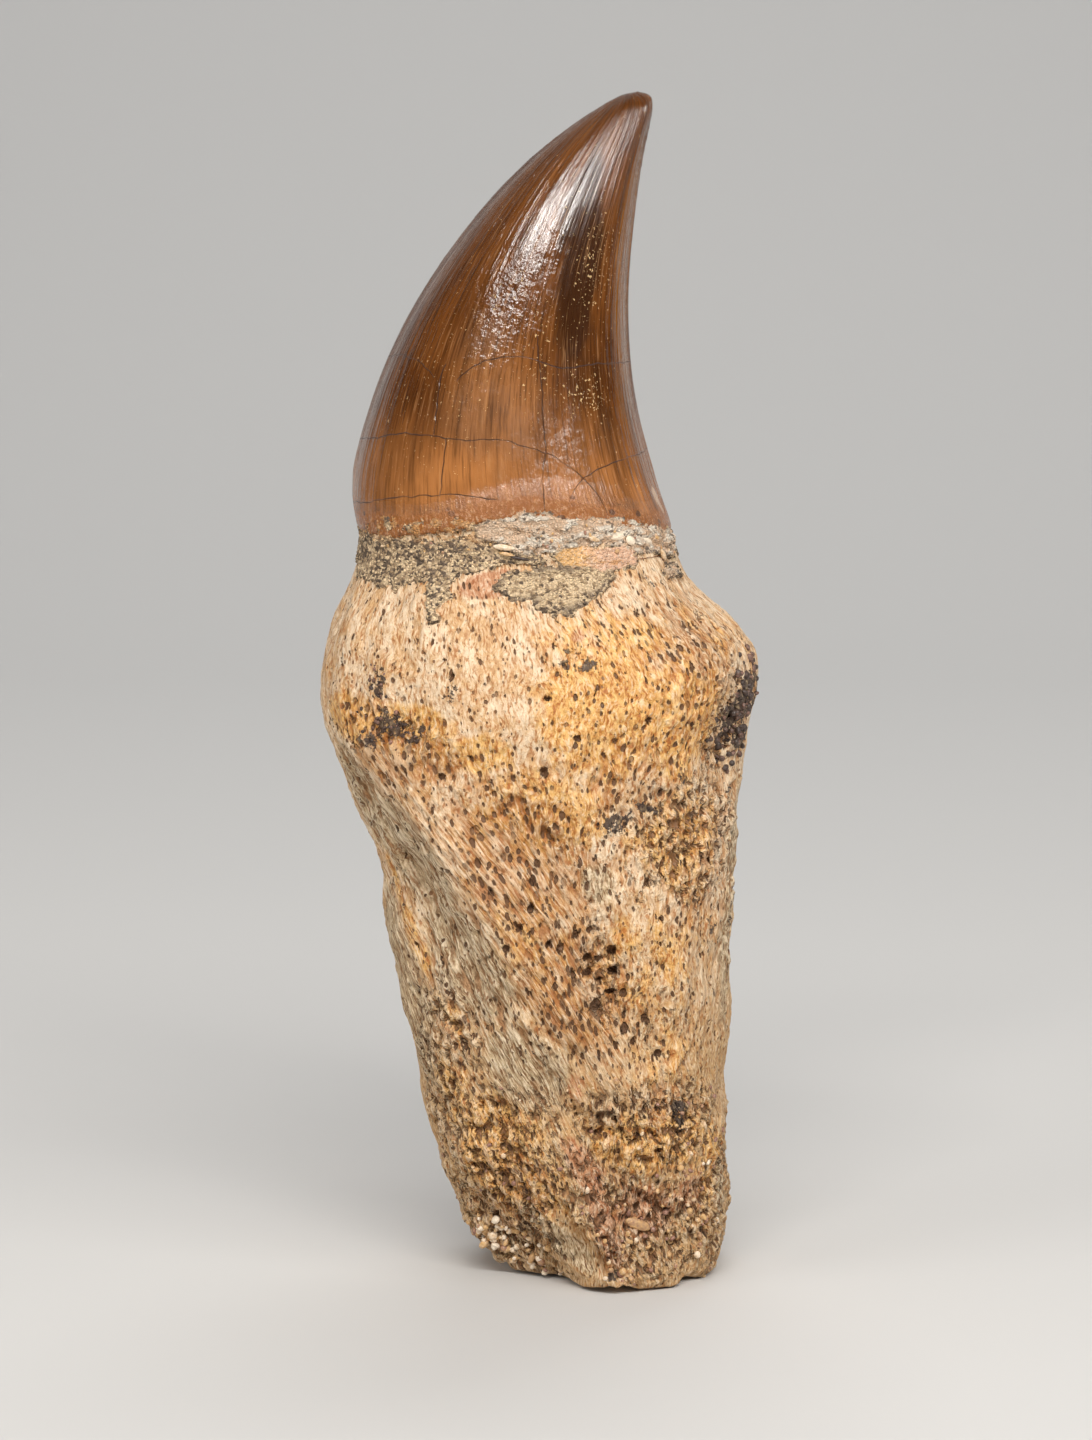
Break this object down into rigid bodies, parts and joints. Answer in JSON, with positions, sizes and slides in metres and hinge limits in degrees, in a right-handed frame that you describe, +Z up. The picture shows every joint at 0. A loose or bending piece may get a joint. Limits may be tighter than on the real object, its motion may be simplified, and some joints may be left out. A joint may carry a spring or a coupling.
{
  "type": "fossil mosasaur tooth",
  "caption": "Large recurved fossil tooth with a glossy brown enamel crown and its swollen porous root, standing upright on the broken end of the root.",
  "frame": {"origin": "middle of the object's box, on the floor that the broken end of the root stands on", "axes": "+Z up from the broken root to the tip of the crown, +X towards the side that the crown hooks over, -Y out of the face that is seen from the front"},
  "size_m": [0.0444, 0.0372, 0.118],
  "materials": {
    "bone": "matte",
    "enamel": "gloss",
    "matrix": "matte"
  },
  "bodies": {
    "root": {"mosasaur_tooth": "bone"}
  },
  "joints": []
}
